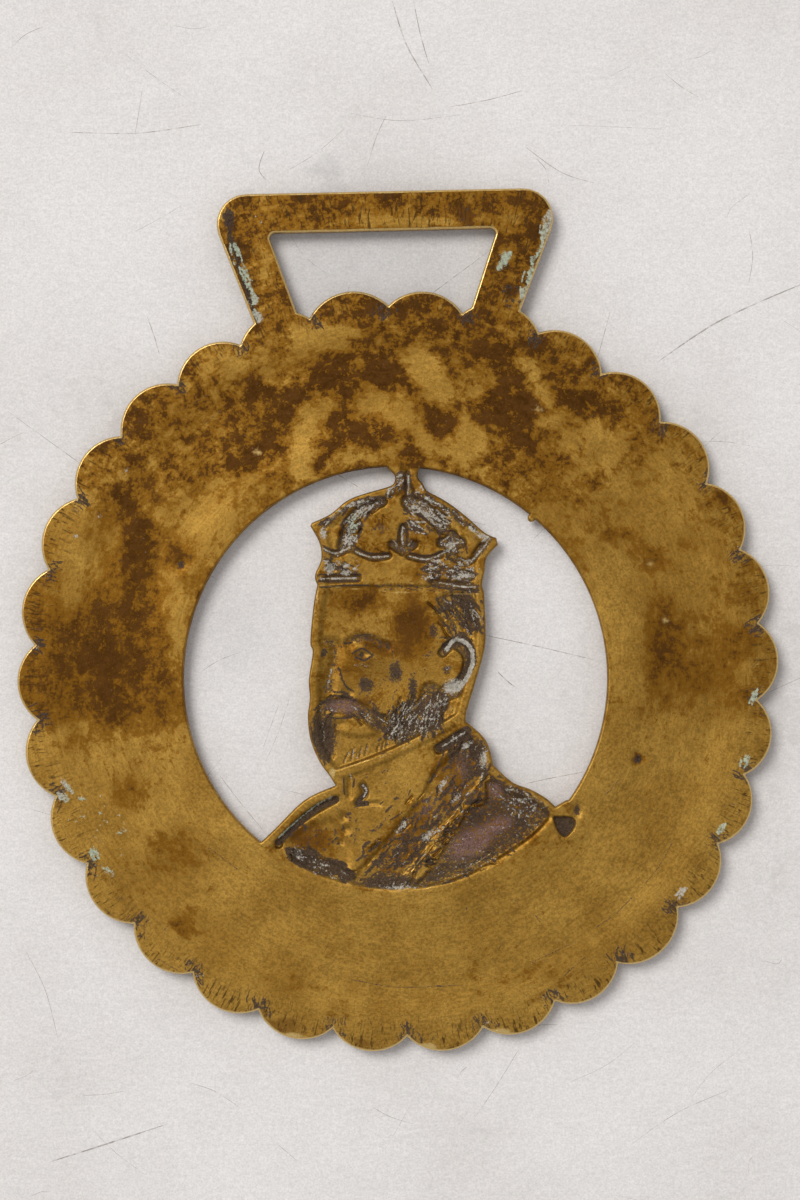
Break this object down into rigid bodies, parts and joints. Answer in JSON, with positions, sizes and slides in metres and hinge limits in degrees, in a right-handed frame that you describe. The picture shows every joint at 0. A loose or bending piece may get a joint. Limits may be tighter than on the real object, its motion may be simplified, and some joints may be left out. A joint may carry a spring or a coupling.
{
  "type": "horse brass",
  "caption": "Harness ornament: scalloped brass ring with a strap hanger and a crowned, bearded bust joined inside its round opening.",
  "frame": {"origin": "centre of the bounding box's bottom, on the surface that the ring's raised front rests on", "axes": "+Y from the bust's shoulders to the strap hanger, +Z out of the hollow back"},
  "size_m": [0.0784, 0.0888, 0.0021],
  "materials": {
    "brass": "aged golden brass, rubbed smooth, with brown patina and pale polish residue in its hollows"
  },
  "bodies": {
    "root": {"horse_brass": "brass"}
  },
  "joints": []
}
